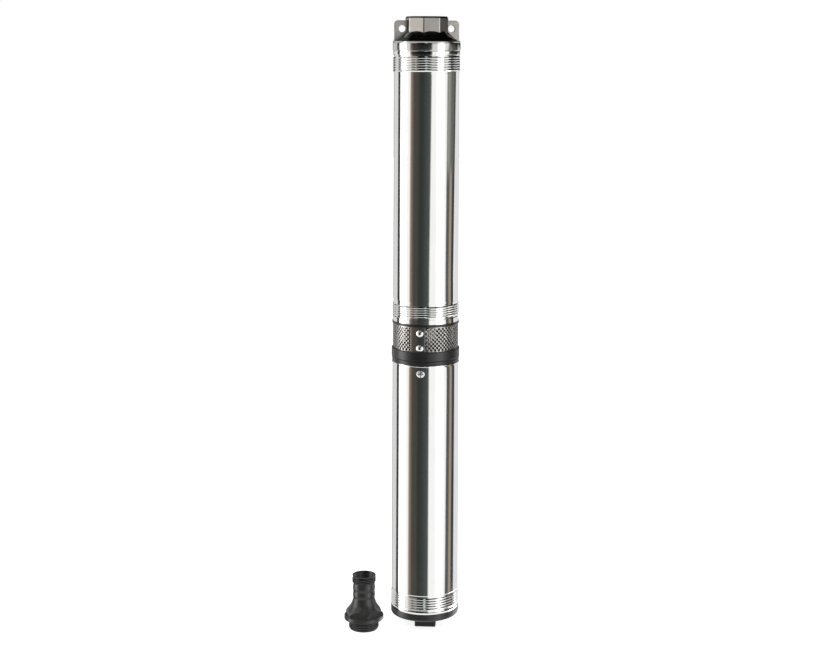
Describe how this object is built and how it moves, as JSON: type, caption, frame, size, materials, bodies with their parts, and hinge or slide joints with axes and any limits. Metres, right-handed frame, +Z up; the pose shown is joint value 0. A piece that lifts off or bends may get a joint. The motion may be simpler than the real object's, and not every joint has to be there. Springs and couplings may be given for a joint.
{
  "type": "borehole submersible pump",
  "caption": "Slim upright submersible pump with stainless shells, mid strainer, threaded outlet with lifting ears, square foot lug, and a loose hose adapter beside it.",
  "frame": {"origin": "middle of the foot lug's flat bottom face, on the pump's axis", "axes": "+Z up along the pump's axis, -Y the front in the picture, +X to its right"},
  "size_m": [0.1608, 0.1, 0.8595],
  "materials": {
    "bottom_cap": "satin moulded black",
    "motor_shell": "satin polished stainless",
    "motor_flange": "matte black",
    "suction_body": "matte moulded black",
    "strainer": "perforated stainless",
    "pump_shell": "satin polished stainless",
    "discharge_head": "turned and blasted",
    "outlet_socket": "blasted",
    "lifting_ears": "blasted",
    "check_valve": "moulded",
    "pump_shaft": "drawn bar",
    "shaft_coupling": "machined",
    "shaft_nut": "machined",
    "impellers": "moulded",
    "diffusers": "moulded",
    "seal_gland": "machined",
    "motor_shaft": "ground",
    "rotor_core": "laminated and cast",
    "stator_core": "laminated",
    "coil_ends": "enamelled copper wire",
    "bearing_bushes": "machined bronze",
    "thrust_pad": "hardened",
    "cable_gland": "moulded rubber",
    "hose_adapter": "satin moulded black"
  },
  "bodies": {
    "pump": {"bottom_cap": "bottom_cap", "motor_shell": "motor_shell", "motor_flange": "motor_flange", "suction_body": "suction_body", "strainer": "strainer", "pump_shell": "pump_shell", "discharge_head": "discharge_head", "outlet_socket": "outlet_socket", "lifting_ears": "lifting_ears", "diffusers": "diffusers", "seal_gland": "seal_gland", "stator_core": "stator_core", "coil_ends": "coil_ends", "bearing_bushes": "bearing_bushes", "thrust_pad": "thrust_pad", "cable_gland": "cable_gland"},
    "rotor": {"pump_shaft": "pump_shaft", "shaft_coupling": "shaft_coupling", "shaft_nut": "shaft_nut", "impellers": "impellers", "motor_shaft": "motor_shaft", "rotor_core": "rotor_core"},
    "check_valve": {"check_valve": "check_valve"},
    "hose_adapter": {"hose_adapter": "hose_adapter"}
  },
  "joints": [
    {"name": "rotor_spin", "type": "hinge", "parent": "pump", "child": "rotor", "pos_m": [0, 0, 0.4], "axis": [0, 0, 1], "continuous": true},
    {"name": "valve_lift", "type": "slide", "parent": "pump", "child": "check_valve", "axis": [0, 0, 1], "range_m": [0, 0.008]},
    {"name": "adapter_lift", "type": "slide", "parent": "pump", "child": "hose_adapter", "axis": [0, 0, 1], "range_m": [0, 0.12]}
  ]
}
